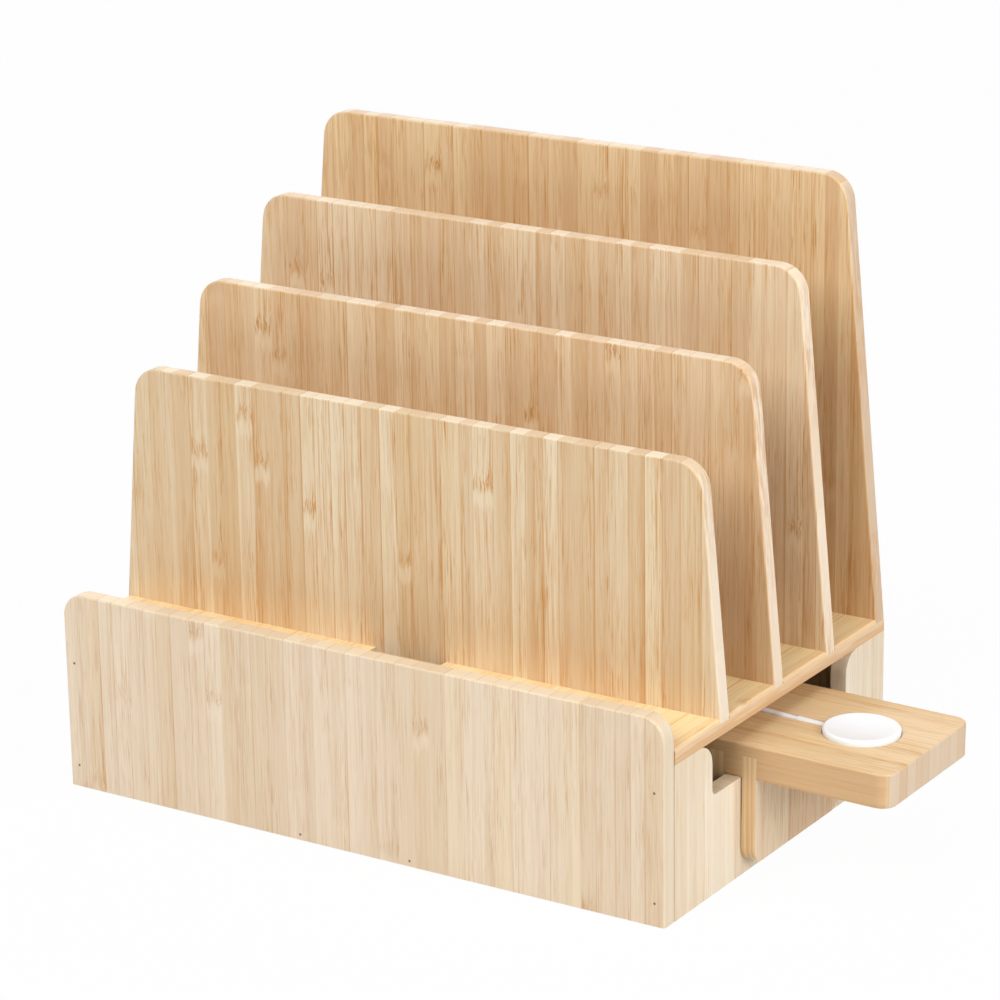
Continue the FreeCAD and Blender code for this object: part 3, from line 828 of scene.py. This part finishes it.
@dataclass
class PowerCord:
    """The puck's cord: out along the tray's groove, down into the box, coiled, tied and ending in a plug.

    Sizes and places are in millimetres in the part's frame. tie_lap and tie_climb are angles in radians.
    """

    diameter: float = 2.7
    relief_end: Point = (135.787, 3.8, 49.664)
    straight_on: Point = (122.812, 3.8, 50.475)
    lead: tuple[Point, ...] = (
        (103.0, 3.4, 51.6), (87.5, 6.5, 40.0), (76.0, 13.5, 23.5), (63.5, 21.0, 11.2), (50.0, 24.95, 6.85),
    )
    tail: tuple[Point, ...] = ((22.5, 24.95, 10.05), (9.5, 22.6, 9.0), (-3.0, 21.6, 8.0))
    plug_back: Point = (-13.0, 21.6, 8.0)
    coil_centre: tuple[float, float] = (36.0, 3.45)
    coil_radius: float = 21.5
    coil_pitch: float = 3.2
    coil_floor: float = 6.85
    layer_rise: float = 3.2
    half_turns_in: int = 8
    half_turns_out: int = 7
    points_per_half_turn: int = 8
    tie_width: float = 5.0
    tie_gap: float = 0.3
    tie_thickness: float = 0.6
    tie_lap: float = 0.5
    tie_climb: float = 0.25
    tie_stand: float = 1.1
    tie_rings: int = 150
    tie_around: int = 24
    loop_power: float = 5.0
    strap_power: float = 6.0

    def coil_points(self) -> np.ndarray:
        """Points of the coil's turns.

        Each half turn is a half circle about a centre on the line along Y. Its radius shrinks by half a pitch
        a half turn on the way in and grows again on the way out. The half turn between climbs a layer as
        (1 - cos(angle)) / 2. Radii are widened to where the smooth line through the points has the coil's own
        radius.

        Returns:
            Array of points in millimetres, in order along the cord.
        """
        count = self.half_turns_in + 1 + self.half_turns_out
        turn = np.arange(count)
        side = np.where(turn % 2 == 0, 1.0, -1.0)
        steps_in = np.minimum(turn, self.half_turns_in)
        steps_out = np.maximum(turn - self.half_turns_in, 0)
        radius = self.coil_radius + (steps_out - steps_in) * self.coil_pitch / 2
        ends = self.coil_centre[1] + self.coil_radius - 2 * np.cumsum(side * radius)
        starts = np.concatenate([[self.coil_centre[1] + self.coil_radius], ends[:-1]])
        step = np.pi / self.points_per_half_turn
        angle = (np.arange(self.points_per_half_turn) + 0.5) * step
        wide = radius[:, None] * 8.0 / (6.0 + 2.0 * np.cos(step))
        x = self.coil_centre[0] - side[:, None] * wide * np.sin(angle)
        y = ((starts + ends) / 2)[:, None] + side[:, None] * wide * np.cos(angle)
        climb = np.clip(turn - self.half_turns_in, 0, 1)[:, None] * np.ones_like(angle)
        climb[self.half_turns_in] = (1 - np.cos(angle)) / 2
        z = self.coil_floor + self.layer_rise * climb
        return np.stack([x.ravel(), y.ravel(), z.ravel()], axis=1)

    def route(self) -> np.ndarray:
        """All the cord's points in metres, from the strain relief to the plug."""
        x, y = self.coil_centre
        coil_start = (x + self.diameter, y + self.coil_radius, self.coil_floor)
        lead = np.array([self.relief_end, self.straight_on, *self.lead, coil_start])
        return np.concatenate([lead, self.coil_points(), np.array([*self.tail, self.plug_back])]) * MM

    def cord(self, workshop: Workshop) -> bpy.types.Object:
        """Round cord on one smooth spline.

        Args:
            workshop: Gives the material.

        Returns:
            The curve object.
        """
        points = self.route()
        curve = bpy.data.curves.new("power_cord", "CURVE")
        curve.dimensions = "3D"
        curve.bevel_depth = self.diameter / 2 * MM
        curve.bevel_resolution = 5
        curve.resolution_u = 6
        curve.use_fill_caps = True
        spline = curve.splines.new("NURBS")
        spline.points.add(len(points) - 1)
        spline.points.foreach_set("co", np.column_stack([points, np.ones(len(points))]).ravel())
        spline.order_u = 3
        spline.use_endpoint_u = True
        spline.use_smooth = True
        piece = bpy.data.objects.new("power_cord", curve)
        bpy.context.scene.collection.objects.link(piece)
        piece.data.materials.append(workshop.material(WHITE_JACKET))
        return piece

    def tie(self, workshop: Workshop) -> bpy.types.Object:
        """Woven band round the coil's turns, with its end lapped over its start on top.

        A strap section, a flattened super-ellipse of strap_power, is carried once round a rounded rectangle,
        itself a super-ellipse of loop_power, and a little further. The lapped stretch climbs on a smooth step
        and lies tie_stand thicknesses out.

        Args:
            workshop: Gives the material.

        Returns:
            The mesh object.
        """
        gap = self.diameter / 2 + self.tie_gap + self.tie_thickness / 2
        outer = self.coil_centre[1] - self.coil_radius
        inner = outer + self.coil_pitch * self.half_turns_in / 2
        middle = ((outer + inner) / 2, self.coil_floor + self.layer_rise / 2)
        half = ((inner - outer) / 2 + gap, self.layer_rise / 2 + gap)
        sweep = np.linspace(0.0, 2 * np.pi + self.tie_lap, self.tie_rings)
        section = np.linspace(0.0, 2 * np.pi, self.tie_around, endpoint=False)

        def squared(angle: np.ndarray, power: float) -> tuple[np.ndarray, np.ndarray]:
            """Cosine and sine raised to 2 / power with their signs kept."""
            return tuple(np.sign(f(angle)) * np.abs(f(angle)) ** (2 / power) for f in (np.cos, np.sin))

        lift = np.clip((sweep - 2 * np.pi + self.tie_climb) / self.tie_climb, 0.0, 1.0)
        lift = lift * lift * (3 - 2 * lift) * self.tie_thickness * self.tie_stand
        ring = squared(sweep + np.pi / 2 - self.tie_lap / 2, self.loop_power)
        strap = squared(section, self.strap_power)
        proud = strap[1][None, :] * self.tie_thickness / 2 + lift[:, None]
        y = middle[0] + ring[0][:, None] * (half[0] + proud)
        z = middle[1] + ring[1][:, None] * (half[1] + proud)
        x = np.broadcast_to(self.coil_centre[0] + strap[0] * self.tie_width / 2, y.shape)
        points = np.stack([x.ravel(), y.ravel(), z.ravel()], axis=1) * MM
        piece = mesh_piece("tie_band", points, tube_faces(len(sweep), len(section)))
        finish = SkinFinish("tie_weave", srgb(226, 226, 224), srgb(204, 204, 202), 0.85, 0.1, 0.0006, 0.00012)
        piece.data.materials.append(workshop.material(finish))
        return piece

    def build(self, workshop: Workshop) -> None:
        """Make the cord and its tie and dress the plug."""
        steel = SkinFinish("plug_bright_steel", srgb(200, 200, 202), srgb(180, 180, 184), 0.28, metallic=1.0)
        workshop.dress({"plug_housing": WHITE_GLOSS, "plug_tongue": WHITE_GLOSS, "plug_shell": steel})
        cord = self.cord(workshop)
        tie = self.tie(workshop)
        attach(cord, "tray")
        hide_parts("cord_lead", "cord_coil", "cord_tail")
        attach(tie, "tray")
        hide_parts("cord_tie")
        tuple(np.array(self.relief_end) * MM)
        LOG.info("%s and %s", cord.name, tie.name)


@dataclass(frozen=True)
class Lamp:
    """Square soft lamp.

    Attributes:
        name: Name of the lamp.
        place: Where it stands, in metres.
        size: Length of its sides in metres.
        watts: Its power.
    """

    name: str
    place: Point
    size: float
    watts: float


@dataclass
class Studio:
    """Floor, soft light and the camera at the photograph's view."""

    camera_place: Point = (0.75680, -1.15823, 0.56568)
    camera_right: Point = (0.84374277, 0.53655221, -0.01448694)
    camera_up: Point = (-0.15580109, 0.27065108, 0.94998632)
    lens: float = 141.45
    sensor: float = 36.0
    world_level: float = 0.26
    floor_size: float = 30.0
    floor_glow: float = 0.97
    floor_grey: float = 0.7
    floor_roughness: float = 0.9
    floor_specular: float = 0.1
    aim: Point = (0.0, 0.0, 0.1)
    lamps: tuple[Lamp, ...] = (
        Lamp("key", (1.7, -0.25, 0.9), 1.0, 21.5),
        Lamp("front", (-0.1, -1.5, 1.5), 1.4, 27.0),
        Lamp("top", (0.1, 0.1, 1.9), 1.2, 5.0),
        Lamp("back", (-1.1, 1.6, 1.1), 1.4, 10.0),
    )

    def camera(self) -> None:
        """Set the scene's camera."""
        data = bpy.data.cameras.new("view")
        data.sensor_width = self.sensor
        data.lens = self.lens
        data.clip_start, data.clip_end = 0.01, 100.0
        right, up = Vector(self.camera_right).normalized(), Vector(self.camera_up).normalized()
        back = right.cross(up)
        turn = Matrix((right, up, back)).transposed().to_4x4()
        camera = bpy.data.objects.new("view", data)
        camera.matrix_world = Matrix.Translation(self.camera_place) @ turn
        bpy.context.scene.collection.objects.link(camera)
        bpy.context.scene.camera = camera

    def light(self, lamp: Lamp) -> None:
        """Set up one lamp, aimed at the object."""
        data = bpy.data.lights.new(lamp.name, "AREA")
        data.size = lamp.size
        data.energy = lamp.watts
        light = bpy.data.objects.new(lamp.name, data)
        light.location = lamp.place
        light.rotation_mode = "QUATERNION"
        light.rotation_quaternion = (Vector(self.aim) - Vector(lamp.place)).to_track_quat("-Z", "Y")
        bpy.context.scene.collection.objects.link(light)

    def world(self) -> None:
        """Even light all round, seen as white by the camera and in reflections."""
        world = bpy.data.worlds.new("studio")
        bpy.context.scene.world = world
        world.use_nodes = True
        world.node_tree.nodes.clear()
        sketch = Sketch(world.node_tree)
        sky = sketch.put("ShaderNodeBackground")
        sky.inputs["Color"].default_value = (1.0, 1.0, 1.0, 1.0)
        sketch.feed(sky.inputs["Strength"], sketch.ramp(self.seen(sketch), 0.0, 1.0, self.world_level, 1.0))
        output = sketch.put("ShaderNodeOutputWorld")
        sketch.feed(output.inputs["Surface"], sky.outputs[0])

    def seen(self, sketch: Sketch) -> Socket:
        """1 for camera, glossy and transmission rays, else 0."""
        path = sketch.put("ShaderNodeLightPath").outputs
        mirrored = sketch.math("MAXIMUM", path["Is Glossy Ray"], path["Is Transmission Ray"])
        return sketch.math("MAXIMUM", path["Is Camera Ray"], mirrored)

    def floor(self) -> None:
        """Pale floor that keeps a faint shadow."""
        half = self.floor_size / 2
        points = np.array([(-half, -half, 0.0), (half, -half, 0.0), (half, half, 0.0), (-half, half, 0.0)])
        floor = mesh_piece("floor", points, [[0, 1, 2, 3]])
        material, sketch, shader = shaded_material("floor_white")
        shader.inputs["Base Color"].default_value = (*[self.floor_grey] * 3, 1.0)
        shader.inputs["Roughness"].default_value = self.floor_roughness
        shader.inputs["Specular IOR Level"].default_value = self.floor_specular
        glow = sketch.put("ShaderNodeEmission")
        glow.inputs["Strength"].default_value = 1.0
        blend = sketch.put("ShaderNodeMixShader")
        sketch.feed(blend.inputs[0], sketch.math("MULTIPLY", self.seen(sketch), self.floor_glow))
        sketch.feed(blend.inputs[1], shader.outputs[0])
        sketch.feed(blend.inputs[2], glow.outputs[0])
        output = next(n for n in material.node_tree.nodes if n.type == "OUTPUT_MATERIAL")
        sketch.feed(output.inputs["Surface"], blend.outputs[0])
        floor.data.materials.append(material)

    def build(self) -> None:
        """Make the studio."""
        self.camera()
        self.world()
        self.floor()
        for lamp in self.lamps:
            self.light(lamp)
        bpy.context.scene.view_settings.view_transform = "Standard"
        LOG.info("studio")


def main() -> None:
    """Dress the frame, add the cord and set up the studio."""
    logging.basicConfig(level=logging.INFO, format="%(message)s")
    workshop = Workshop()
    for assembly in (CordBox(), DividerLid(), SideTray(), ChargingPuck(), PowerCord()):
        assembly.build(workshop)
    Studio().build()


if __name__ == "__main__":
    main()
